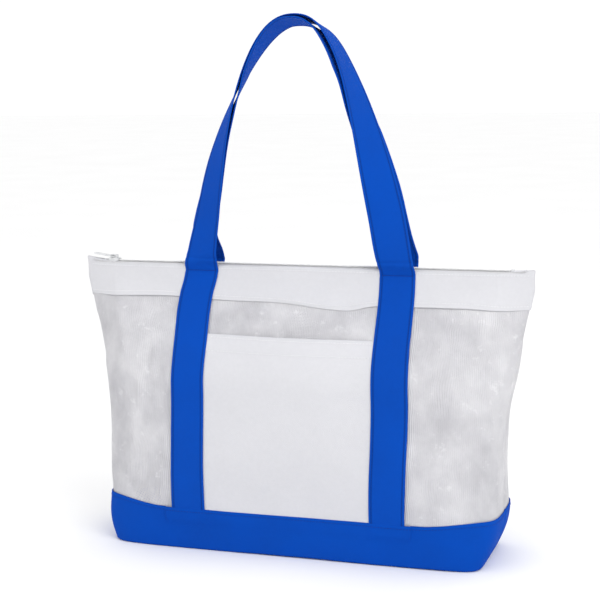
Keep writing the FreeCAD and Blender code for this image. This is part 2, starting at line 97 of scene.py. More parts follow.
# how the ends of the bag differ from that outline
BASE_PINCH = 3.5 * MM  # how far the base's top edge draws the left end in
BASE_PINCH_REACH = 20 * MM
LEFT_PINCH = 5.5 * MM  # how far the left end hangs in, under the top band
LEFT_PINCH_START = (80 * MM, 120 * MM)
LEFT_PINCH_END = (232 * MM, 30 * MM)
LEFT_BULGE = 4 * MM  # how far it stands out beside the top band
LEFT_BULGE_START = (222 * MM, 30 * MM)
RIGHT_BULGE = 4.5 * MM  # how far the right end stands out, from higher up the mesh on
RIGHT_BULGE_START = (150 * MM, 80 * MM)
BULGE_FADE = 22 * MM
CORNER_RISE = {LEFT: 5.5 * MM, RIGHT: 2.5 * MM}  # how far the top corners stand up beyond the zip
CORNER_LENGTH = 22 * MM
CORNER_POWER = 1.5
FACET_LENGTH = 38 * MM  # the flattened end faces of the top
FACET_START = (190 * MM, 60 * MM)

# slack in the cloth, which fades out towards the ground and the zip
GOLDEN = 0.618  # keeps the broad waves out of step with the ripples
DRIFT = 4.0  # millimetres of broad waves for each one of ripples
DRIFT_SCALE = 9
RIPPLE_SCALE = 24
SLACK_LOW_FADE = 50 * MM
SLACK_TOP_FADE = 70 * MM

# cloth layers, as distances outside that outline
CLOTH = 0.8 * MM
MESH_LAYERS = (-0.15 * MM, -0.8 * MM)
COVER_INNER, COVER_OUTER = 0.2 * MM, 1.05 * MM
STRAP_INNER, STRAP_OUTER = 1.25 * MM, 2.85 * MM
STRAP_MIDDLE = (STRAP_INNER + STRAP_OUTER) / 2
TUCK = 7 * MM  # how far straps and pocket are tucked behind the base
SEAM_DIP = 1.1 * MM  # how far a panel turns in at a side seam
SEAM_WIDTH = 4 * MM


def smooth(value):
    """A smooth step from 0 to 1 as the value goes from 0 to 1."""
    share = min(max(value, 0.0), 1.0)
    return share * share * (3 - 2 * share)


def step_up(value, start, length):
    """A smooth step from 0 to 1 that begins at start."""
    return smooth((value - start) / length)


def step_down(value, end, length):
    """A smooth step from 1 to 0 that ends at end."""
    return smooth((end - value) / length)


def bell(value):
    """A smooth hump of height 1 at 0."""
    return math.exp(-(value ** 2))


def spread(low, high, count):
    """Evenly spaced values from low to high."""
    return [low + (high - low) * step / (count - 1) for step in range(count)]


def distances_along(points):
    """The distance travelled up to each point of a line."""
    travelled = [0.0]
    for first, second in zip(points, points[1:]):
        travelled.append(travelled[-1] + (second - first).length)
    return travelled


def places_along(travelled, goals):
    """For each goal distance, the number of the point before it and the share of the way to the next."""
    found = []
    index = 0
    for goal in goals:
        while index < len(travelled) - 2 and travelled[index + 1] < goal:
            index += 1
        found.append((index, (goal - travelled[index]) / (travelled[index + 1] - travelled[index])))
    return found


def even_values(values, points, count):
    """Values between the given ones at which the line of points is evenly divided, and its distances."""
    travelled = distances_along(points)
    goals = spread(0.0, travelled[-1], count)
    evened = []
    for index, share in places_along(travelled, goals):
        evened.append(values[index] + (values[index + 1] - values[index]) * share)
    return evened, goals


def end_of(x):
    """The hand on which a place lies."""
    return LEFT if x < 0 else RIGHT


def half_length(height, hand):
    """The bag's length at a height, from its middle to one end."""
    pinch = 0.0
    if hand == LEFT:
        pinch = BASE_PINCH * bell((height - BASE_TOP) / BASE_PINCH_REACH)
    if height <= BASE_TOP:
        rise = math.sin(math.pi / 2 * max(height, 0.0) / BASE_TOP)
        return HALF_BOTTOM + (HALF_BELLY - HALF_BOTTOM) * rise - pinch
    climb = (height - BASE_TOP) / (TOP - BASE_TOP)
    length = HALF_BELLY + (HALF_TOP - HALF_BELLY) * climb ** FLARE_POWER - pinch
    near_top = step_down(height, TOP, BULGE_FADE)
    if hand == RIGHT:
        return length + RIGHT_BULGE * step_up(height, *RIGHT_BULGE_START) * near_top
    hang = step_up(height, *LEFT_PINCH_START) * step_down(height, *LEFT_PINCH_END)
    return length - LEFT_PINCH * hang + LEFT_BULGE * step_up(height, *LEFT_BULGE_START) * near_top


def half_depth(height):
    """Half the bag's depth at a height."""
    if height <= SHOULDER:
        return FULL_DEPTH + BELLY * math.sin(math.pi * height / SHOULDER) ** 2
    lean = min((height - SHOULDER) / (TOP - SHOULDER), 1.0)
    return RIDGE_DEPTH + (FULL_DEPTH - RIDGE_DEPTH) * (1 + math.cos(math.pi * lean)) / 2


def squareness(height):
    """Superellipse exponent of the outline at a height."""
    return SQUARE_TOP + SQUARE_EXTRA * math.exp(-height / SQUARE_FADE)


def relief(side, x, height):
    """Slack in a wall, shared by all its layers so that they stay apart."""
    fade = smooth(height / SLACK_LOW_FADE) * step_down(height, TOP, SLACK_TOP_FADE)
    place = Vector((x, side * wall_depth(x, height, 0.0), height))
    drift = noise.noise(place * DRIFT_SCALE + Vector((GOLDEN, 2, 5)))
    return fade * (DRIFT * drift + noise.noise(place * RIPPLE_SCALE)) * MM


def facet(x, height, reach):
    """How much flatter than the plain outline a wall is near the top's ends, as a factor on its depth."""
    strength = step_up(height, *FACET_START)
    left_over = (reach - abs(x)) / FACET_LENGTH
    if strength == 0.0 or left_over >= 1:
        return 1.0
    if left_over < 1e-4:
        return 1 - strength
    exponent = squareness(height)
    plain = (1 - (abs(x) / reach) ** exponent) ** (1 / exponent)
    fold = (1 - (1 - FACET_LENGTH / reach) ** exponent) ** (1 / exponent)
    return 1 + (fold * left_over / plain - 1) * strength


def wall_depth(x, height, offset):
    """Distance of a wall from the middle plane, at a place along the bag."""
    exponent = squareness(height)
    reach = half_length(height, end_of(x)) + offset
    along = min(abs(x) / reach, 1.0)
    depth = (half_depth(height) + offset) * (1 - along ** exponent) ** (1 / exponent)
    return depth * facet(x, height, reach)


def wall_point(side, x, height, offset):
    """A point on a layer of the front or back wall."""
    return Vector((x, side * wall_depth(x, height, offset + relief(side, x, height)), height))


def outline_point(side, angle, height, offset):
    """A point of the outline, seen from the middle at an angle from the left seam."""
    exponent = squareness(height)
    along = math.cos(angle)
    across = math.sin(angle)
    reach = half_length(height, LEFT if along > 0 else RIGHT) + offset
    share_long = (abs(along) / reach) ** exponent
    share_deep = (abs(across) / (half_depth(height) + offset)) ** exponent
    distance = (share_long + share_deep) ** (-1 / exponent)
    x = -distance * along
    return Vector((x, side * distance * across * facet(x, height, reach), height))


def raised(point, height):
    """The same point at another height."""
    return Vector((point.x, point.y, height))


def corner_rise(x, height):
    """How far the top edge stands up beyond the ends of the zip, fading down the top band."""
    beyond = max(abs(x) - (HALF_TOP - CORNER_LENGTH), 0.0) / CORNER_LENGTH
    share = min(max((height - BAND_LOW) / (TOP - BAND_LOW), 0.0), 1.0)
    return CORNER_RISE[end_of(x)] * beyond ** CORNER_POWER * share


def seam_dip(distance, end):
    """How far a panel turns in near the side seam at the end."""
    return SEAM_DIP * (1 - step_down(abs(distance), end, SEAM_WIDTH))


def outline_angles(height, count):
    """Angles whose places along the outline are evenly spaced, and their distances from the middle."""
    fine = spread(0.0, math.pi, 361)
    places = [outline_point(FRONT, angle, height, 0.0) for angle in fine]
    angles, goals = even_values(fine, places, count)
    return angles, [goal - goals[-1] / 2 for goal in goals]


# ---------------------------------------------------------------- mesh building

CLOTH_SLOT, THREAD_SLOT = 0, 1
EDGE_ROUND = 0.42  # how far a shell's edge stands out, as a share of its thickness
STITCH_RINGS = ((-0.36, 0.75), (0.0, 1.0), (0.36, 0.75))  # a stitch's rings: place along it and size
STITCH_SIDES = 6
TUBE_TILT = Vector((0.31, 0.17, 1.0))  # a direction that no tube follows


class Mesh:
    """Collects shells, tubes and stitches, then becomes one piece."""

    def __init__(self):
        self.points = []
        self.places = []
        self.faces = []
        self.slots = []

    def add(self, points, places, faces, slot):
        """Points with their places on the flat cloth, and faces over them."""
        first = len(self.points)
        self.points.extend(points)
        self.places.extend(places)
        self.faces.extend([first + index for index in face] for face in faces)
        self.slots.extend([slot] * len(faces))

    def add_shell(self, grid):
        """A closed shell; each row of the grid is its (outer, inner) points and their flat places."""
        pairs, places = zip(*grid)
        rows = len(pairs)
        columns = len(pairs[0])
        size = rows * columns
        points = [pair[face] for face in (0, 1) for row in pairs for pair in row]
        flat = [place for row in places for place in row] * 2
        faces = []
        for row in range(rows - 1):
            for column in range(columns - 1):
                first = row * columns + column
                corners = [first, first + 1, first + columns + 1, first + columns]
                faces.append(corners)
                faces.append([size + corner for corner in reversed(corners)])
        edge = [(0, column, 1, column) for column in range(columns - 1)]
        edge += [(row, columns - 1, row, columns - 2) for row in range(rows - 1)]
        edge += [(rows - 1, column, rows - 2, column) for column in range(columns - 1, 0, -1)]
        edge += [(row, 0, row, 1) for row in range(rows - 1, 0, -1)]
        first_middle = len(points)
        for row, column, near_row, near_column in edge:
            outer, inner = pairs[row][column]
            middle = (outer + inner) / 2
            away = middle - (pairs[near_row][near_column][0] + pairs[near_row][near_column][1]) / 2
            points.append(middle + away.normalized() * (outer - inner).length * EDGE_ROUND)
            flat.append(places[row][column])
        ring = [row * columns + column for row, column, _, _ in edge]
        for index, here in enumerate(ring):
            after = (index + 1) % len(ring)
            there = ring[after]
            middle_here = first_middle + index
            middle_there = first_middle + after
            faces.append([there, here, middle_here, middle_there])
            faces.append([middle_there, middle_here, size + here, size + there])
        self.add(points, flat, faces, CLOTH_SLOT)

    def add_stitches(self, line, pitch=3.4 * MM, length=2.6 * MM, radius=0.3 * MM):
        """A row of thread stitches along a line of (point, normal)."""
        for centre, along, normal in walk(line, pitch):
            self.add_stitch(centre, along, normal, length, radius)

    def add_stitch(self, centre, along, normal, length, radius):
        """One stitch: a small spindle, half sunk into the cloth."""
        across = along.cross(normal)
        sides = STITCH_SIDES
        points = [centre - along * length / 2]
        for share, size in STITCH_RINGS:
            middle = centre + along * length * share + normal * radius * 0.5 * size
            for side in range(sides):
                turn = 2 * math.pi * side / sides
                points.append(middle + (across * math.cos(turn) + normal * math.sin(turn)) * radius * size)
        points.append(centre + along * length / 2)
        last = len(points) - 1
        faces = []
        for side in range(sides):
            near = 1 + side
            beside = 1 + (side + 1) % sides
            faces.append([0, beside, near])
            for start in (0, sides):
                faces.append([start + near, start + beside, start + sides + beside, start + sides + near])
            faces.append([last, 2 * sides + near, 2 * sides + beside])
        self.add(points, [(0.0, 0.0)] * len(points), faces, THREAD_SLOT)

    def add_tube(self, path, radius, sides):
        """A closed round tube along a path."""
        points = []
        places = []
        faces = []
        for index, travelled in enumerate(distances_along(path)):
            centre = path[index]
            along = (path[min(index + 1, len(path) - 1)] - path[max(index - 1, 0)]).normalized()
            level = TUBE_TILT.cross(along).normalized()
            upright = along.cross(level)
            for side in range(sides):
                turn = 2 * math.pi * side / sides
                points.append(centre + (level * math.cos(turn) + upright * math.sin(turn)) * radius)
                places.append((side * radius, travelled))
        for index in range(len(path) - 1):
            for side in range(sides):
                near = index * sides + side
                beside = index * sides + (side + 1) % sides
                faces.append([near, beside, beside + sides, near + sides])
        faces.append(list(range(sides))[::-1])
        faces.append([len(points) - sides + side for side in range(sides)])
        self.add(points, places, faces, CLOTH_SLOT)

    def piece(self, name, materials, slot, *nodes, body="bag"):
        """The finished mesh object: its materials and the CAD nodes it stands for; the material slot
        argument is not used.
        """
        data = bpy.data.meshes.new(name)
        data.from_pydata([tuple(point) for point in self.points], [], self.faces)
        data.polygons.foreach_set("material_index", self.slots)
        data.polygons.foreach_set("use_smooth", [True] * len(self.faces))
        layer = data.uv_layers.new(name="cloth")
        corners = []
        for loop in data.loops:
            corners.extend(self.places[loop.vertex_index])
        layer.data.foreach_set("uv", corners)
        for material in materials:
            data.materials.append(material)
        work = bmesh.new()
        work.from_mesh(data)
        bmesh.ops.recalc_face_normals(work, faces=work.faces)
        work.to_mesh(data)
        work.free()
        obj = bpy.data.objects.new(name, data)
        bpy.context.scene.collection.objects.link(obj)
        if body:
            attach(obj, body)
        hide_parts(*nodes)
        return obj


def walk(line, pitch):
    """Evenly spaced (point, direction, normal) along a line of (point, normal)."""
    travelled = distances_along([point for point, _ in line])
    count = int(travelled[-1] / pitch)
    found = []
    goals = [(step + 0.5) * travelled[-1] / count for step in range(count)]
    for index, share in places_along(travelled, goals):
        near, normal = line[index]
        far, next_normal = line[index + 1]
        along = (far - near).normalized()
        upright = normal.lerp(next_normal, share)
        upright = (upright - along * upright.dot(along)).normalized()
        found.append((near.lerp(far, share), along, upright))
    return found


# ---------------------------------------------------------------- materials

MIX_FIRST, MIX_SECOND, MIX_RESULT = 6, 7, 2  # the colour sockets of a Mix node


class Look:
    """One material's node tree, with short ways to add and join nodes."""

    def __init__(self, name):
        self.material = bpy.data.materials.new(name)
        self.material.use_nodes = True
        self.tree = self.material.node_tree
        self.shader = self.tree.nodes["Principled BSDF"]
        self.coordinates = self.tree.nodes.new("ShaderNodeTexCoord")

    def node(self, kind, settings=None, **inputs):
        """A node; an input is named, or i and its number, and is a value or another node's output."""
        made = self.tree.nodes.new(kind)
        for key, value in (settings or {}).items():
            setattr(made, key, value)
        for key, value in inputs.items():
            numbered = key[0] == "i" and key[1:].isdigit()
            self.join(made.inputs[int(key[1:]) if numbered else key], value)
        return made

    def join(self, socket, value):
        """Set a socket, or link another node's output to it."""
        if isinstance(value, bpy.types.NodeSocket):
            self.tree.links.new(value, socket)
        else:
            socket.default_value = value

    def math(self, operation, first, second=0.0):
        """A maths node's output."""
        return self.node("ShaderNodeMath", {"operation": operation}, i0=first, i1=second).outputs[0]

    def wave(self, place, length, shape="SINE"):
        """A wave along a place, one cycle in each length."""
        return self.math(shape, self.math("MULTIPLY", place, 2 * math.pi / length))

    def cloth_axes(self):
        """The place on the flat cloth: across and along, in metres."""
        split = self.node("ShaderNodeSeparateXYZ", i0=self.coordinates.outputs["UV"])
        return split.outputs["X"], split.outputs["Y"]

    def noise(self, scale, detail=3.0, roughness=0.5, stretch=(1.0, 1.0, 1.0)):
        """A noise value around 0.5."""
        place = self.coordinates.outputs["Object"]
        mapped = self.node("ShaderNodeMapping", Vector=place, Scale=stretch).outputs[0]
        settings = {"Scale": scale, "Detail": detail, "Roughness": roughness}
        return self.node("ShaderNodeTexNoise", Vector=mapped, **settings).outputs[0]

    def mix(self, share, first, second):
        """A colour between two colours."""
        made = self.node("ShaderNodeMix", {"data_type": "RGBA"})
        self.join(made.inputs["Factor"], share)
        self.join(made.inputs[MIX_FIRST], first)
        self.join(made.inputs[MIX_SECOND], second)
        return made.outputs[MIX_RESULT]

    def ramp(self, value, low, high, to_low=0.0, to_high=1.0):
        """A value mapped from one range to another, clamped."""
        return self.node("ShaderNodeMapRange", i0=value, i1=low, i2=high, i3=to_low, i4=to_high).outputs[0]

    def bump(self, height, distance, strength=1.0, below=None):
        """A normal bent by a height; below is a coarser bump that it adds to."""
        made = self.node("ShaderNodeBump", Height=height, Distance=distance, Strength=strength)
        if below is not None:
            self.join(made.inputs["Normal"], below)
        return made.outputs["Normal"]

    def set(self, **inputs):
        """Inputs of the surface shader, with underscores for spaces."""
        for key, value in inputs.items():
            self.join(self.shader.inputs[key.replace("_", " ")], value)
        return self.material


def shade(colour, factor):
    """A colour made darker or lighter."""
    return tuple(min(channel * factor, 1.0) for channel in colour) + (1.0,)


def weave_height(look, pitch):
    """Plain weave: over and under in both directions, at a yarn pitch."""
    across, along = look.cloth_axes()
    return look.math("MULTIPLY", look.wave(across, 2 * pitch), look.wave(along, 2 * pitch))


def woven_material(name, colour, pitch, roughness=0.8, soil=0.06, seam=None):
    """Coated plain weave with faint creases; a painted shadow darkens the colour along a sewn line, at the
    given distance from the middle.
    """
    look = Look(name)
    broad = look.noise(14, detail=4, roughness=0.6)
    fine = look.noise(240, detail=2)
    weave = weave_height(look, pitch)
    tone = look.mix(look.ramp(broad, 0.3, 0.7), shade(colour, 1 - soil), shade(colour, 1 + soil))
    tone = look.mix(look.ramp(weave, -1.0, 1.0, 0.0, 0.12), tone, shade(colour, 0.7))
    tone = look.mix(look.ramp(fine, 0.35, 0.75, 0.0, 0.10), tone, shade(colour, 1.25))
    if seam:
        # painted shadow: the colour is darkened beside the sewn line, where its groove lies in shade
        across, _ = look.cloth_axes()
        beside = look.math("ABSOLUTE", look.math("SUBTRACT", look.math("ABSOLUTE", across), seam))
        tone = look.mix(look.ramp(beside, 0.3 * MM, 1.3 * MM, 0.55, 0.0), tone, shade(colour, 0.45))
    creases = look.noise(38, detail=5, roughness=0.55, stretch=(1.0, 1.0, 0.6))
    normal = look.bump(creases, 1.4 * MM, 0.35)
    normal = look.bump(weave, 0.12 * MM, 0.7, below=normal)
    return look.set(
        Base_Color=tone,
        Roughness=look.ramp(broad, 0.3, 0.7, roughness - 0.06, roughness + 0.06),
        Sheen_Weight=0.07,
        Sheen_Roughness=0.5,
        Sheen_Tint=shade(colour, 1.6),
        Specular_IOR_Level=0.07,
        Normal=normal,
    )


def mesh_material():
    """Open ribbed mesh: solid upright ribs with a ladder of small holes between them, with painted shade,
    painted light and painted glints mottled over it.
    """
    rib_pitch = 2.0 * MM
    hole_pitch = 1.7 * MM
    hole_width, hole_height = 0.15, 0.34  # half sizes, as shares of those pitches
    shadow = (0.52, 0.515, 0.545, 1)
    light = (0.70, 0.695, 0.72, 1)
    glint = (0.90, 0.90, 0.92, 1)

    look = Look("white_mesh")
    across, along = look.cloth_axes()
    column = look.math("DIVIDE", across, rib_pitch)
    half_step = look.math("MULTIPLY", look.math("FLOORED_MODULO", look.math("FLOOR", column), 2.0), 0.5)
    row = look.math("ADD", look.math("DIVIDE", along, hole_pitch), half_step)
    off_column = look.math("SUBTRACT", look.math("FRACT", column), 0.5)
    off_row = look.math("SUBTRACT", look.math("FRACT", row), 0.5)
    wide = look.math("POWER", look.math("DIVIDE", off_column, hole_width), 2.0)
    tall = look.math("POWER", look.math("DIVIDE", off_row, hole_height), 2.0)
    solid = look.math("GREATER_THAN", look.math("ADD", wide, tall), 1.0)
    rib = look.wave(column, 1.0, "COSINE")
    # painted shade and light: a noise mottle mixes a shadow tone and a lit tone, and painted glints add
    # small highlights
    painted_shade_mottle = look.noise(26, detail=5, roughness=0.62, stretch=(1.0, 1.0, 0.7))
    glints = look.ramp(look.noise(75, detail=4, roughness=0.7), 0.60, 0.72)
    tone = look.mix(look.ramp(painted_shade_mottle, 0.32, 0.68), shadow, light)
    tone = look.mix(look.math("MULTIPLY", glints, 0.5), tone, glint)
    normal = look.bump(look.noise(52, detail=5, roughness=0.6), 2.0 * MM, 0.5)
    normal = look.bump(rib, 0.16 * MM, 0.5, below=normal)
    return look.set(
        Base_Color=tone,
        Alpha=solid,
        Roughness=look.ramp(painted_shade_mottle, 0.3, 0.7, 0.62, 0.42),
        Sheen_Weight=0.15,
        Normal=normal,
    )


def tape_material(name, colour, rib):
    """Woven tape: fine ribs across the tape."""
    look = Look(name)
    across, along = look.cloth_axes()
    ribs = look.wave(along, rib)
    threads = look.wave(across, rib * 0.7)
    tone = look.mix(look.ramp(ribs, -1.0, 1.0), shade(colour, 0.86), shade(colour, 1.03))
    tone = look.mix(look.ramp(look.noise(60), 0.35, 0.7, 0.0, 0.2), tone, shade(colour, 0.8))
    normal = look.bump(ribs, 0.2 * MM, 0.9)
    normal = look.bump(threads, 0.08 * MM, 0.6, below=normal)
    return look.set(Base_Color=tone, Roughness=0.8, Sheen_Weight=0.2, Normal=normal)


def thread_material(name, colour):
    """Twisted sewing thread."""
    look = Look(name)
    strands = look.noise(2600, detail=2)
    tone = look.mix(look.ramp(strands, 0.35, 0.65), shade(colour, 0.8), shade(colour, 1.2))
    return look.set(
        Base_Color=tone,
        Roughness=0.6,
        Sheen_Weight=0.1,
        Sheen_Tint=shade(colour, 1.6),
        Specular_IOR_Level=0.2,
        Normal=look.bump(strands, 0.05 * MM, 0.8),
    )


def coil_material():
    """Nylon monofilament, smooth and slightly see-through at its edges."""
    look = Look("zip_coil")
    tone = look.mix(look.ramp(look.noise(400), 0.4, 0.6), (0.90, 0.90, 0.90, 1), (0.95, 0.95, 0.95, 1))
    return look.set(Base_Color=tone, Roughness=0.32, Subsurface_Weight=0.1, Subsurface_Radius=(0.001,) * 3)


def metal_material():
    """Nickel plating with fine scratches and cloudy patches."""
    look = Look("zip_metal")
    scratches = look.noise(900, detail=4, roughness=0.7, stretch=(1.0, 6.0, 6.0))
    cloud = look.noise(180, detail=3)
    tone = look.mix(look.ramp(cloud, 0.35, 0.65), (0.60, 0.61, 0.63, 1), (0.78, 0.79, 0.80, 1))
    return look.set(
        Base_Color=tone,
        Metallic=1.0,
        Roughness=look.ramp(scratches, 0.3, 0.7, 0.18, 0.38),
        Normal=look.bump(scratches, 0.03 * MM, 0.5),
    )


def floor_material():
    """Plain pale floor."""
    look = Look("floor")
    tone = look.mix(look.ramp(look.noise(3.0), 0.3, 0.7), (0.93, 0.93, 0.93, 1), (0.95, 0.95, 0.95, 1))
    return look.set(Base_Color=tone, Roughness=0.9, Specular_IOR_Level=0.1)


BLUE = (0.0012, 0.064, 0.425)
WHITE = (0.67, 0.67, 0.70)
YARN = 0.55 * MM
STITCH_INSET = 2.6 * MM  # from the webbing's edge to its sewn line

blue_fabric = woven_material("blue_fabric", BLUE, YARN)
blue_webbing = woven_material("blue_webbing", BLUE, YARN, roughness=0.76, seam=STRAP_HALF - STITCH_INSET)
white_fabric = woven_material("white_fabric", WHITE, 0.5 * MM, soil=0.015)
white_mesh = mesh_material()
binding_tape = tape_material("binding_tape", (0.80, 0.80, 0.81), 0.7 * MM)
zip_tape = tape_material("zip_tape", (0.84, 0.84, 0.85), 0.6 * MM)
blue_thread = thread_material("blue_thread", (0.001, 0.035, 0.27))
white_thread = thread_material("white_thread", (0.80, 0.80, 0.82))
zip_coil = coil_material()
zip_metal = metal_material()


# ---------------------------------------------------------------- wall panels


def wall_shell(mesh, side, heights, columns, layers, extra, lift=None):
    """A seam-to-seam panel between two layers, with something extra outwards and a lift."""

    def row(height):
        angles, distances = outline_angles(height, columns)
        pairs = []
        for angle, distance in zip(angles, distances):
            x = outline_point(side, angle, height, 0.0).x
            out = extra(side, x, height) + relief(side, x, height) - seam_dip(distance, distances[-1])
            high = height + (lift(side, x, height) if lift else 0.0)
            points = [outline_point(side, angle, height, layer + out) for layer in layers]
            pairs.append([raised(point, high) for point in points])
        return pairs, [(distance, height) for distance in distances]

    mesh.add_shell(row(height) for height in heights)


def crinkle(side, x, height):
    """Small creases of the mesh, only where no other layer lies over it."""
    base_fade, fade, end_fade, pocket_fade = 18 * MM, 14 * MM, 10 * MM, 8 * MM
    clear = step_up(height, BASE_TOP, base_fade) * step_down(height, BAND_LOW, fade)
    reach = abs(x)
    if reach > STRAP_X:
        clear *= step_up(reach, STRAP_X + STRAP_HALF, fade)
        clear *= step_down(reach, half_length(height, end_of(x)), end_fade)
    else:
        clear *= step_down(reach, STRAP_X - STRAP_HALF, fade)
        if side == FRONT:
            clear *= step_up(height, POCKET_TOP, pocket_fade)
    if clear == 0.0:
        return 0.0
    place = Vector((x * 22, height * 16, 5 * side))
    ridge = 1 - abs(noise.noise(place)) * 2
    second = 1 - abs(noise.noise(place * 2.6 + Vector((3, 1, 0)))) * 2
    return clear * (1.5 * ridge + 0.6 * second - 0.6) * MM


def make_mesh_panel(side):
    """One side's mesh, from behind the base band to behind the top band."""
    mesh = Mesh()
    name = SIDE_NAMES[side]
    lap = 12 * MM
    wall_shell(mesh, side, spread(BASE_TOP - lap, BAND_LOW + lap, 90), 231, MESH_LAYERS, crinkle)
    obj = mesh.piece(f"mesh_{name}_cloth", [white_mesh], "white_mesh", f"mesh_{name}_panel")


BASE_ROUND = 2.5 * MM  # radius of the base's lower edge
GROUND_GAP = 0.2 * MM
BASE_STITCH_DROP = 3.0 * MM
BASE_RISE = 7.5 * MM  # how far the base's top edge rises towards the side seams
BASE_RISE_START = (140 * MM, 70 * MM)
BASE_WAVE = 1.5 * MM  # and how far its lower edge lifts off the ground here and there
BASE_WAVE_FADE = 24 * MM
OVER_STRAP, STRAP_SLOPE = 1.75 * MM, 6 * MM  # how far it stands out over a strap's end, and how soon
OVER_POCKET, POCKET_SLOPE = 0.7 * MM, 2 * MM  # and over the pocket's


def base_relief(side, x, height):
    """How far the base is rolled in at the ground, and stands out over the tucked straps and pocket."""
    low = max(1 - (height - GROUND_GAP) / BASE_ROUND, 0.0)
    rolled = BASE_ROUND * (1 - math.sqrt(max(1 - low * low, 0.0)))
    lift = OVER_STRAP * (1 - step_up(abs(abs(x) - STRAP_X), STRAP_HALF, STRAP_SLOPE))
    if side == FRONT:
        lift = max(lift, OVER_POCKET * (1 - step_up(abs(x), POCKET_HALF, POCKET_SLOPE)))
    return step_up(height, BASE_TOP - 3 * TUCK, 1.5 * TUCK) * lift - rolled


def base_lift(side, x, height):
    """The base's lower edge isn't quite flat on the ground, and its top edge rises towards the seams."""
    wave = BASE_WAVE * max(noise.noise(Vector((x * 17, side * 3.0, 1.5))) + 0.15, 0.0)
    corner = BASE_RISE * step_up(abs(x), *BASE_RISE_START)
    return wave * (1 - smooth(height / BASE_WAVE_FADE)) + corner * (height / BASE_TOP) ** 2


def base_stitch_line(side):
    """A line under the base's top edge, with its outward normals, short of the side seams."""
    height = BASE_TOP - BASE_STITCH_DROP
    angles, distances = outline_angles(height, 181)
    line = []
    for angle, distance in zip(angles, distances):
        if abs(distance) > distances[-1] - 3 * MM:
            continue
        x = outline_point(side, angle, height, 0.0).x
        total = COVER_OUTER + base_relief(side, x, height) + relief(side, x, height)
        point = outline_point(side, angle, height, total)
        further = outline_point(side, angle, height, total + MM)
        high = point.z + base_lift(side, point.x, point.z)
        line.append((raised(point, high), (further - point).normalized()))
    return line


def make_base_panel(side):
    """One side's coloured base band: hemmed above, rolled under at the ground."""
    mesh = Mesh()
    name = SIDE_NAMES[side]
    turns = spread(0.0, math.pi / 2, 9)[:-1]
    heights = [BASE_ROUND * (1 - math.cos(turn)) + GROUND_GAP for turn in turns]
    heights += spread(BASE_ROUND + GROUND_GAP, BASE_TOP, 22)
    wall_shell(mesh, side, heights, 261, (COVER_OUTER, COVER_INNER), base_relief, base_lift)
    mesh.add_stitches(base_stitch_line(side))
    materials = [blue_fabric, blue_thread]
    obj = mesh.piece(f"base_{name}_cloth", materials, "blue_fabric", f"base_{name}_panel")


def make_bottom():
    """The flat bottom, lying inside the rolled edge of the base."""
    mesh = Mesh()
    edge_offset, rest_height, sag = -2.0 * MM, 0.9 * MM, 0.35 * MM
    angles, _ = outline_angles(0.0, 61)
    edge = [outline_point(FRONT, angle, 0.0, edge_offset) for angle in angles]

    def row(share):
        pairs = []
        for point in edge:
            y = point.y * -share
            height = rest_height + sag * noise.noise(Vector((point.x * 14, y * 20, 2.0)))
            pairs.append((Vector((point.x, y, height + CLOTH)), Vector((point.x, y, height))))
        return pairs, [(point.x, point.y * share) for point in edge]

    mesh.add_shell(row(share) for share in spread(-1.0, 1.0, 25))
    obj = mesh.piece("bottom_cloth", [blue_fabric], "blue_fabric", "base_bottom_panel")


# the top band's lower edge, with places to the right as seen from its own side
HEM_RISE, HEM_WAVE = 2.4 * MM, 0.6 * MM
HEM_DRAWN_UP, DRAWN_PLACE, DRAWN_WIDTH = 3.5 * MM, -170 * MM, 50 * MM
HEM_SAG, SAG_PLACE = 6.4 * MM, 50 * MM
SAG_LEFT_WIDTH, SAG_RIGHT_WIDTH = 50 * MM, 26 * MM
HEM_END_DROP, HEM_END_START = 2.4 * MM, (185 * MM, 45 * MM)

BAND_CREST = TOP + 1.2 * MM
FOLD_RADIUS = 2.0 * MM
FOLD_STEPS = 9
CREST_STITCH_DROP, HEM_STITCH_RISE = 2.5 * MM, 3.5 * MM


def band_low(side, x):
    """Height of the top band's lower edge: drawn up near the left end, sagging once right of the middle."""
    place = x if side == FRONT else -x
    wave = noise.noise(Vector((x * 13, 4.0 + side, 0.5)))
    drawn_up = HEM_DRAWN_UP * bell((place - DRAWN_PLACE) / DRAWN_WIDTH)
    sag_width = SAG_LEFT_WIDTH if place < SAG_PLACE else SAG_RIGHT_WIDTH
    sag = HEM_SAG * bell((place - SAG_PLACE) / sag_width)
    end_drop = HEM_END_DROP * step_up(place, *HEM_END_START)
    return BAND_LOW + HEM_RISE + HEM_WAVE * wave + drawn_up - sag - end_drop


def band_section():
    """Across the top band: share of its height, turn of the fold, and the outer and inner face's
    offset and lift. It goes up outside, over the fold and down inside."""
    middle = COVER_OUTER - FOLD_RADIUS
    inside = middle - FOLD_RADIUS
    section = [(share, (COVER_OUTER, 0.0), (COVER_OUTER - CLOTH, 0.0)) for share in spread(0.0, 1.0, 14)]
    for step in range(1, FOLD_STEPS):
        turn = math.pi * step / FOLD_STEPS
        faces = []
        for radius in (FOLD_RADIUS, FOLD_RADIUS - CLOTH):
            faces.append((middle + radius * math.cos(turn), radius * math.sin(turn)))
        section.append((1.0, *faces))
    section += [(share, (inside, 0.0), (inside + CLOTH, 0.0)) for share in spread(1.0, 0.0, 10)]
    return section


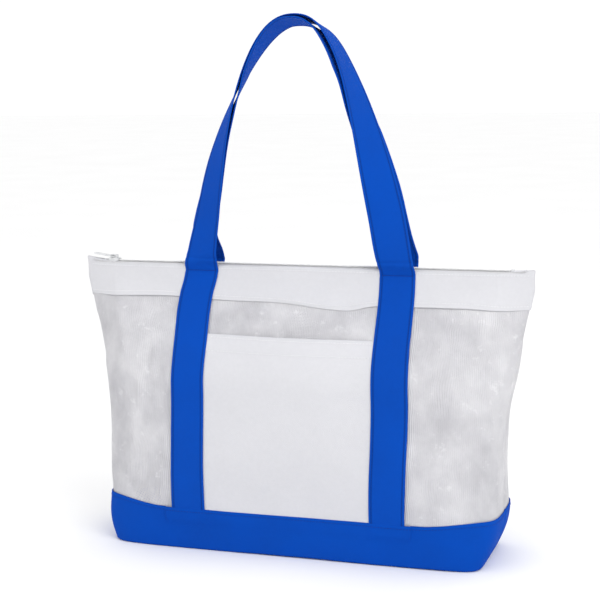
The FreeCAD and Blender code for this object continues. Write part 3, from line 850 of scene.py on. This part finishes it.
def make_top_band(side):
    """One side's top band: one strip of cloth, folded over the top edge round the zip tape."""
    mesh = Mesh()
    name = SIDE_NAMES[side]
    columns = 241

    def row(share, *faces):
        level = TOP - (1 - share) * (TOP - BAND_LOW)
        angles, distances = outline_angles(level, columns)
        pairs = []
        for angle, distance in zip(angles, distances):
            x = outline_point(side, angle, level, 0.0).x
            low = band_low(side, x)
            height = low + (BAND_CREST - FOLD_RADIUS - low) * share
            out = relief(side, x, height) - seam_dip(distance, distances[-1])
            rise = height + corner_rise(x, height)
            pair = []
            for offset, lift in faces:
                point = outline_point(side, angle, min(height + lift, TOP), offset + out)
                pair.append(raised(point, rise + lift))
            pairs.append(pair)
        return pairs, distances

    rows = [row(*station) for station in band_section()]
    travelled = distances_along([pairs[columns // 2][0] for pairs, _ in rows])
    mesh.add_shell(
        (pairs, [(distance, far) for distance in distances])
        for (pairs, distances), far in zip(rows, travelled)
    )

    end = HALF_TOP - 6 * MM
    crest_line = []
    hem_line = []
    for x in spread(-end, end, 241):
        hem = band_low(side, x) + HEM_STITCH_RISE
        for line, height in ((crest_line, TOP - CREST_STITCH_DROP), (hem_line, hem)):
            surface = wall_point(side, x, height, COVER_OUTER)
            line.append((surface, (wall_point(side, x, height, COVER_OUTER + MM) - surface).normalized()))
    mesh.add_stitches(crest_line)
    mesh.add_stitches(hem_line)
    nodes = (f"top_band_{name}", f"top_facing_{name}")
    obj = mesh.piece(f"top_band_{name}_cloth", [white_fabric, white_thread], "white_fabric", *nodes)


POCKET_BULGE = 7.5 * MM
POCKET_HEM = 18 * MM


def pocket_point(x, height, thickness):
    """A point of the pocket: it stands off the wall nowhere at its sewn sides, most in its open mouth."""
    share = math.sin(math.pi / 2 * smooth((height - POCKET_LOW) / (POCKET_TOP - POCKET_LOW)))
    across = max(1 - (x / POCKET_HALF) ** 2, 0.0)
    return wall_point(FRONT, x, height, COVER_INNER + POCKET_BULGE * share * across ** 2 + thickness)


def pocket_thickness(height):
    """Thickness of the pocket's cloth, half as much again in its hem."""
    return CLOTH * (1 + 0.5 * step_up(height, POCKET_TOP - POCKET_HEM, 2 * MM))


def make_pocket():
    """The slip pocket: tucked behind the base and the straps, hemmed along its open edge."""
    mesh = Mesh()
    across = spread(-POCKET_HALF, POCKET_HALF, 71)

    def row(height):
        faces = (pocket_thickness(height), 0.0)
        pairs = [[pocket_point(x, height, thickness) for thickness in faces] for x in across]
        return pairs, [(x, height) for x in across]

    mesh.add_shell(row(height) for height in spread(POCKET_LOW - TUCK, POCKET_TOP, 64))
    facing_out = Vector((0, -1, 0.12)).normalized()
    for drop in (2.5 * MM, POCKET_HEM - 2 * MM):
        height = POCKET_TOP - drop
        sewn = spread(-POCKET_HALF + TUCK, POCKET_HALF - TUCK, 61)
        mesh.add_stitches([(pocket_point(x, height, pocket_thickness(height)), facing_out) for x in sewn])
    obj = mesh.piece("pocket_cloth", [white_fabric, white_thread], "white_fabric", "pocket_panel")


# ---------------------------------------------------------------- webbing

HANDLE_RISE = 263 * MM  # from a loop's foot to the middle of its apex
ARCH_POWER = 2.33
LEVEL_HEIGHT = 45 * MM  # above this the webbing's width lies square to its line
TWIST_PEAK, TWIST_SKEW = 103.0, -2.0  # degrees at the apex, and more or less on the way there
EARLY_TWIST = 10.0  # how much further the left leg has turned just above the bag
EARLY_HEIGHT, EARLY_END = 18 * MM, (30 * MM, 90 * MM)
LATE_TWIST = 5.0  # how much the right leg's twist lags just below the apex
LATE_PLACE, LATE_WIDTH = -0.33, 0.14
APEX_RIGHT, APEX_FORWARD = 9 * MM, -10 * MM  # where the apex leans to
LEG_BOW = 3 * MM  # how far the left leg bows out below it

# how the back loop differs from the front one
NESTING = 3.5 * MM  # between the middles of the two loops' webbing
NESTING_HEIGHT = 42 * MM
BACK_SLIDE = 4.0 * MM  # its lower legs stand wider
BACK_SLIDE_HEIGHT, BACK_SLIDE_END = 15 * MM, (140 * MM, 40 * MM)
BACK_FAN, BACK_FAN_START = 3.0 * MM, (165 * MM, 60 * MM)  # and its upper legs stand inside
BACK_SHIFT, BACK_SHIFT_END = 2.3 * MM, (30 * MM, 60 * MM)  # how far to the left it is sewn
BACK_LEAN, BACK_LEAN_START = 3.0 * MM, (195 * MM, 40 * MM)  # how much less its top leans right
BACK_CLOSING = 0.7 * MM  # the most that this lean brings the two loops together
BACK_OPENING = 1.4 * MM  # and apart

TACK_HEIGHT = TOP - 5 * MM  # a strap's last sewing line
TACK_TO_BEND = 14 * MM  # from there up to the crease where the handle bends away
SETTLE_LENGTH = 50 * MM
STRAP_PUCKER = 5.0 * MM  # how far a strap stands off the wall above that line
TACK_GROOVE, TACK_GROOVE_WIDTH = 0.9 * MM, 1.8 * MM
CREASE_GROOVE, CREASE_GROOVE_WIDTH = 1.0 * MM, 1.6 * MM


def foot_depth():
    """Distance of a loop's foot from the middle plane."""
    return wall_depth(STRAP_X, TOP, STRAP_MIDDLE)


def back_shift(centre, width, outward, rise):
    """The back loop's centre beside the front loop's."""
    closing = smooth(rise / NESTING_HEIGHT)
    apart = 2 * foot_depth() * (1 - closing) + NESTING * closing
    slide = BACK_SLIDE * smooth(rise / BACK_SLIDE_HEIGHT) * (1 - step_up(rise, *BACK_SLIDE_END))
    inside = BACK_FAN * step_up(rise, *BACK_FAN_START)
    moved = centre - outward * apart + width * (inside - slide)
    moved.x -= BACK_SHIFT * (1 - step_up(rise, *BACK_SHIFT_END))
    lean = Vector((-BACK_LEAN * step_up(rise, *BACK_LEAN_START), 0, 0))
    closer = lean.dot(outward)
    return moved + (lean - outward * (closer - min(max(closer, -BACK_OPENING), BACK_CLOSING)))


def loop_station(side, turn):
    """Centre, inward width direction, outward normal and rise of a loop's webbing."""
    along = math.cos(turn)
    reach = abs(along)
    toward_apex = math.copysign(1.0, along)
    rise = HANDLE_RISE * (1 - reach ** ARCH_POWER)
    height_share = rise / HANDLE_RISE
    bow = 0.0
    early = 0.0
    if along > 0:
        bow = LEG_BOW * math.sin(math.pi * height_share) ** 2
        early = EARLY_TWIST * smooth(rise / EARLY_HEIGHT) * (1 - step_up(rise, *EARLY_END))
    late = LATE_TWIST * bell((along - LATE_PLACE) / LATE_WIDTH)
    x = -STRAP_X * along + APEX_RIGHT * height_share ** 3 - bow
    centre = Vector((x, -foot_depth() + APEX_FORWARD * height_share, FOOT_HEIGHT + rise))

    climb = HANDLE_RISE * ARCH_POWER * reach ** (ARCH_POWER - 1) * math.sin(turn)
    tangent = Vector((STRAP_X * math.sin(turn), 0, math.copysign(climb, along)))
    if tangent.length < 1e-9:
        tangent = Vector((0, 0, toward_apex))
    tangent.normalize()
    square = Vector((tangent.z, 0, -tangent.x))
    level = Vector((toward_apex, 0, 0))
    inward = level.lerp(square, smooth(rise / LEVEL_HEIGHT)).normalized()
    forward = Vector((0, -1, 0))
    twist = math.radians((TWIST_PEAK + TWIST_SKEW * along) * height_share + early - late)
    width = inward * math.cos(twist) + forward * math.sin(twist)
    outward = forward * math.cos(twist) - inward * math.sin(twist)
    if side == BACK:
        centre = back_shift(centre, width, outward, rise)
    return centre, width, outward, rise


def loop_turns(count):
    """Turns of a loop whose stations are evenly spaced along the webbing."""
    fine = spread(0.0, math.pi, 721)
    return even_values(fine, [loop_station(FRONT, turn)[0] for turn in fine], count)[0]


def strap_lift(height):
    """Pucker of a strap round its last sewing line, just under the top edge."""
    from_tack = height - TACK_HEIGHT
    sewn = TACK_GROOVE * bell(from_tack / TACK_GROOVE_WIDTH)
    bend = CREASE_GROOVE * bell((from_tack - TACK_TO_BEND) / CREASE_GROOVE_WIDTH)
    return STRAP_PUCKER * smooth(from_tack / TACK_TO_BEND) - sewn - bend


def strap_sway(hand, height):
    """How far a front strap wanders sideways from its straight line, most at one height."""
    if hand == LEFT:
        return -1.3 * MM - 3.8 * MM * bell((height - 262 * MM) / (32 * MM))
    return 3.2 * MM * bell((height - 165 * MM) / (75 * MM))


def sewn_point(side, hand, across, height, offset):
    """A point of a sewn strap; across is positive towards the bag's middle."""
    sway = strap_sway(hand, height) * step_down(height, TOP, 30 * MM)
    x = hand * (STRAP_X - across) + (sway if side == FRONT else -BACK_SHIFT)
    hidden = step_down(height, BASE_TOP + 1.0 * MM, 3 * MM)
    total = offset - hidden * (STRAP_INNER - COVER_INNER) + strap_lift(height)
    return wall_point(side, x, height, total)


def strap_profile(across):
    """Half thickness of the folded webbing: puffed edges, sewn grooves and a flat middle."""
    inset = STRAP_HALF - abs(across)
    crown = 0.06 * smooth(inset / (10 * MM))
    groove = 0.38 * bell((inset - STITCH_INSET) / (0.7 * MM))
    edge = 0.45 * (1 - smooth(inset / (0.8 * MM)))
    return (STRAP_OUTER - STRAP_INNER) / 2 * (1 + crown - groove - edge)


def strap_columns():
    """Places across the webbing, close together at its sewn edges."""
    insets = [0.0, 0.4, 0.9, 1.6, 2.1, 2.6, 3.1, 3.7, 5.0, 8.0, 12.0, 15.5]
    left = [inset * MM - STRAP_HALF for inset in insets]
    return left + [0.0] + [-place for place in reversed(left)]


def make_webbing(side):
    """One continuous strap: up the wall, over as a handle, and down the wall again."""
    name = SIDE_NAMES[side]
    columns = strap_columns()
    heights = spread(BASE_TOP - TUCK, TOP - 14 * MM, 60) + spread(TOP - 13 * MM, TOP, 22)
    stations = [(LEFT, height) for height in heights]
    stations += [(None, turn) for turn in loop_turns(520)[1:-1]]
    stations += [(RIGHT, height) for height in reversed(heights)]

    def place(station, across, lift):
        hand, value = station
        if hand is not None:
            return sewn_point(side, hand, across, value, STRAP_MIDDLE + lift)
        centre, width, outward, rise = loop_station(side, value)
        settle = strap_lift(FOOT_HEIGHT + rise) * (1 - step_up(rise, TACK_TO_BEND, SETTLE_LENGTH))
        return centre + width * across - outward * side * lift + Vector((0, side * settle, 0))

    def row(station, far):
        pairs = []
        for across in columns:
            half = strap_profile(across)
            pairs.append([place(station, across, lift) for lift in (half, -half)])
        return pairs, [(across, far) for across in columns]

    mesh = Mesh()
    travelled = distances_along([place(station, 0.0, 0.0) for station in stations])
    mesh.add_shell(row(station, far) for station, far in zip(stations, travelled))
    stitch_place = STRAP_HALF - STITCH_INSET
    for across in (-stitch_place, stitch_place):
        for face in (1, -1):
            line = []
            for station in stations:
                if face == -1 and station[0] is not None:
                    continue
                surface = place(station, across, face * strap_profile(across))
                line.append((surface, (surface - place(station, across, 0.0)).normalized()))
            mesh.add_stitches(line)
    for hand in (LEFT, RIGHT):
        line = []
        for across in spread(-stitch_place, stitch_place, 40):
            surface = sewn_point(side, hand, across, TACK_HEIGHT, STRAP_MIDDLE + strap_profile(0.0))
            line.append((surface, Vector((0, side, 0))))
        mesh.add_stitches(line, pitch=0.8 * MM, length=1.9 * MM)
    nodes = (f"handle_{name}_loop", f"strap_{name}_left", f"strap_{name}_right", f"bar_tacks_{name}")
    materials = [blue_webbing, blue_thread]
    obj = mesh.piece(f"handle_{name}_webbing", materials, "blue_webbing", *nodes, body=None)
    joint_y = side * foot_depth()
    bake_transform(obj)


# ---------------------------------------------------------------- zip and inside seams


def tape_width(x):
    """Width of one zip tape, cut narrower where the top band closes in at its ends."""
    room = wall_depth(x, TOP, COVER_OUTER) - 0.6 * MM
    return min(TAPE_HIGH.y, max(room, COIL_HIGH.y + 0.5 * MM))


def make_zip_tape(side):
    """One woven tape of the zip, with a thicker edge beside the coil."""
    mesh = Mesh()
    half = TAPE_HIGH.x
    inner_edge, stitch_place = 0.45 * MM, 3.9 * MM
    cord_place, cord_width, cord_height = 3.4 * MM, 0.5 * MM, 0.25 * MM
    flat = spread(0.0, TAPE_HIGH.y, 9)

    def row(x):
        rise = corner_rise(x, TOP)
        pairs = []
        for y in spread(inner_edge, tape_width(x), 9):
            cord = bell((y - cord_place) / cord_width) * cord_height
            pairs.append([Vector((x, side * y, z + rise)) for z in (TAPE_HIGH.z + cord, TAPE_LOW.z)])
        return pairs, [(y, x) for y in flat]

    mesh.add_shell(row(x) for x in spread(-half, half, 181))
    line = []
    for x in spread(-half * 0.9, half * 0.9, 61):
        line.append((Vector((x, side * stitch_place, TAPE_HIGH.z + corner_rise(x, TOP))), UP))
    mesh.add_stitches(line, pitch=2.2 * MM, length=1.7 * MM, radius=0.2 * MM)
    node = f"zip_tape_{SIDE_NAMES[side]}"
    mesh.piece(f"{node}_woven", [zip_tape, white_thread], "zip_tape", node)


def make_zip_coil(side):
    """One half of the coil: monofilament turns round a cord, reaching into the other half's."""
    mesh = Mesh()
    pitch = 1.5 * MM
    wire = 0.42 * MM
    near = 0.12 * MM + wire
    far = COIL_HIGH.y - wire
    low = COIL_LOW.z + wire
    high = COIL_HIGH.z - wire
    middle_y, middle_z = (near + far) / 2, (low + high) / 2
    half_width, half_height = (far - near) / 2, (high - low) / 2
    steps = 12
    turns = int((COIL_HIGH.x - COIL_LOW.x) / pitch)
    shift = 0.0 if side == FRONT else pitch / 2
    path = []
    for step in range(turns * steps):
        turn = 2 * math.pi * step / steps
        x = COIL_LOW.x + shift + pitch * step / steps
        y = middle_y + half_width * math.cos(turn)
        path.append(Vector((x, side * y, middle_z + half_height * math.sin(turn))))
    mesh.add_tube(path, wire, sides=6)
    cord = [Vector((x, side * middle_y, middle_z)) for x in (COIL_LOW.x + pitch, COIL_HIGH.x - pitch)]
    mesh.add_tube(cord, (min(half_width, half_height) - wire) * 0.98, sides=10)
    node = f"zip_coil_{SIDE_NAMES[side]}"
    mesh.piece(f"{node}_turns", [zip_coil], "zip_coil", node)


def make_zip_tab(hand):
    """The fabric tab folded over one end of the zip."""
    node = f"zip_end_tab_{HAND_NAMES[hand]}"
    low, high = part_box(node)
    mesh = Mesh()
    crown_height = 0.4 * MM
    edge_height = high.z - 0.3 * MM

    def row(x):
        rise = corner_rise(x, TOP)
        reach = min(high.y, tape_width(x) + 0.2 * MM)
        across = spread(-reach, reach, 13)
        pairs = []
        for y in across:
            crown = crown_height * (1 - (y / reach) ** 4)
            pairs.append([Vector((x, y, z + rise)) for z in (edge_height + crown, low.z)])
        return pairs, [(x, y) for y in across]

    mesh.add_shell(row(x) for x in spread(low.x, high.x, 15))
    inset = 1.6 * MM
    for x in (low.x + inset, high.x - inset):
        height = high.z + corner_rise(x, TOP)
        line = [(Vector((x, y, height)), UP) for y in (low.y + inset, high.y - inset)]
        mesh.add_stitches(line, pitch=2.4 * MM, length=1.9 * MM, radius=0.22 * MM)
    mesh.piece(f"{node}_cloth", [white_fabric, white_thread], "white_fabric", node)


BINDING_WIDTH = 9 * MM
BINDING_STITCH = {"pitch": 3.0 * MM, "length": 2.2 * MM, "radius": 0.25 * MM}


def make_side_binding(hand):
    """The bound seam allowance that stands into the bag along one side seam."""
    node = f"side_seam_binding_{HAND_NAMES[hand]}"
    low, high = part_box(node)
    mesh = Mesh()
    shares = spread(0.0, 1.0, 9)
    wall_gap, sway_size, stitch_share = 2.75 * MM, 0.8 * MM, 0.72

    def place(height, share, face):
        start = half_length(height, hand) - wall_gap
        swell = (high.y - low.y) / 2 * (0.55 + 0.45 * step_up(share, 0.15, 0.3))
        sway = sway_size * noise.noise(Vector((height * 40, 2.0, hand))) * share
        return Vector((hand * (start - BINDING_WIDTH * share), face * swell + sway, height))

    def row(height):
        pairs = [(place(height, share, 1), place(height, share, -1)) for share in shares]
        return pairs, [(share * BINDING_WIDTH, height) for share in shares]

    mesh.add_shell(row(height) for height in spread(low.z, high.z, 120))
    for face in (1, -1):
        normal = Vector((0, face, 0))
        line = [(place(height, stitch_share, face), normal) for height in spread(low.z, high.z, 90)]
        mesh.add_stitches(line, **BINDING_STITCH)
    mesh.piece(f"{node}_tape", [binding_tape, white_thread], "binding_tape", node)


def make_bottom_binding():
    """The bound seam allowance round the inside of the bottom."""
    low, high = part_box("bottom_seam_binding")
    mesh = Mesh()
    shares = spread(0.0, 1.0, 8)
    stitch_column = 5
    wall_gap, tilt, wave_size, thinning = 2.5 * MM, 0.6 * MM, 0.5 * MM, 0.75 * MM
    for side in (FRONT, BACK):

        def row(angle, distance):
            pairs = []
            for share in shares:
                point = outline_point(side, angle, 0.0, -wall_gap - BINDING_WIDTH * share)
                lift = wave_size * noise.noise(Vector((distance * 30, side, share))) * share
                faces = (high.z + tilt * share, low.z + thinning)
                pairs.append([raised(point, height + lift) for height in faces])
            return pairs, [(share * BINDING_WIDTH, distance) for share in shares]

        rows = [row(angle, distance) for angle, distance in zip(*outline_angles(0.0, 181))]
        mesh.add_shell(rows)
        mesh.add_stitches([(pairs[stitch_column][0], UP) for pairs, _ in rows], **BINDING_STITCH)
    node = "bottom_seam_binding"
    mesh.piece(f"{node}_tape", [binding_tape, white_thread], "binding_tape", node)


# the CAD's metal parts, with how far their edges are softened
METAL_EDGES = {
    "zip_top_stop": 0.5 * MM,
    "zip_bottom_stop": 0.5 * MM,
    "slider_body": 0.25 * MM,
    "slider_bail": 0.2 * MM,
    "pull_tab": 0.3 * MM,
}


def finish_metal(node, width):
    """A CAD metal part: plated, with softened edges."""
    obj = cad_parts[node]
    for slot in obj.material_slots:
        slot.material = zip_metal
    obj.modifiers.new("joined_edges", "WELD").merge_threshold = 0.001 * MM
    bevel = obj.modifiers.new("soft_edges", "BEVEL")
    bevel.width = width
    bevel.segments = 2
    bevel.limit_method = "ANGLE"


# ---------------------------------------------------------------- stage

CAMERA_AZIMUTH, CAMERA_ELEVATION, CAMERA_ROLL = 18.47, 8.47, -0.91  # degrees
CAMERA_DISTANCE = 1.614
CAMERA_TARGET = Vector((0, 0, 0.280))
LIGHT_TARGET = Vector((0, 0, 0.25))
WORLD_STRENGTH = 1.05


def direction(azimuth, elevation):
    """The direction from the bag to a place, at angles in degrees round from the front and up."""
    turn = math.radians(azimuth)
    climb = math.radians(elevation)
    return Vector((math.sin(turn) * math.cos(climb), -math.cos(turn) * math.cos(climb), math.sin(climb)))


def make_floor():
    """A plain pale floor."""
    bpy.ops.mesh.primitive_plane_add(size=30)
    floor = bpy.context.object
    floor.name = "floor"
    floor.data.materials.append(floor_material())


def add_area_light(name, azimuth, elevation, distance, size, power):
    """A soft square light that looks at the bag."""
    data = bpy.data.lights.new(name, "AREA")
    data.size = size
    data.energy = power
    light = bpy.data.objects.new(name, data)
    bpy.context.scene.collection.objects.link(light)
    away = direction(azimuth, elevation)
    light.location = LIGHT_TARGET + away * distance
    light.rotation_euler = away.to_track_quat("Z", "Y").to_euler()


def light_scene():
    """White studio surroundings, a broad key light from the upper right and a weak fill."""
    world = bpy.data.worlds.new("studio")
    world.use_nodes = True
    background = world.node_tree.nodes["Background"]
    background.inputs["Color"].default_value = (1.0, 1.0, 1.0, 1.0)
    background.inputs["Strength"].default_value = WORLD_STRENGTH
    bpy.context.scene.world = world
    add_area_light("key", 50, 42, distance=2.6, size=1.5, power=20)
    add_area_light("fill", -50, 25, distance=2.8, size=2.2, power=2)


def place_camera():
    """The camera, a little above the bag and to its right, as far off as a person stands."""
    data = bpy.data.cameras.new("camera")
    camera = bpy.data.objects.new("camera", data)
    bpy.context.scene.collection.objects.link(camera)
    bpy.context.scene.camera = camera
    back = direction(CAMERA_AZIMUTH, CAMERA_ELEVATION)
    camera.location = CAMERA_TARGET + back * CAMERA_DISTANCE
    camera.rotation_mode = "QUATERNION"
    roll = Euler((0, 0, math.radians(CAMERA_ROLL))).to_quaternion()
    camera.rotation_quaternion = back.to_track_quat("Z", "Y") @ roll
    data.sensor_width = 36
    data.lens = 89.57
    data.shift_x = -0.0018
    data.shift_y = -0.0153


# ---------------------------------------------------------------- the bag

place_camera()
light_scene()
make_floor()
bpy.context.scene.view_settings.view_transform = "Standard"

for side in (FRONT, BACK):
    make_mesh_panel(side)
    make_base_panel(side)
    make_top_band(side)
    make_webbing(side)
    make_zip_tape(side)
    make_zip_coil(side)
make_bottom()
make_pocket()
for hand in (LEFT, RIGHT):
    make_side_binding(hand)
    make_zip_tab(hand)
make_bottom_binding()
for node, width in METAL_EDGES.items():
    finish_metal(node, width)
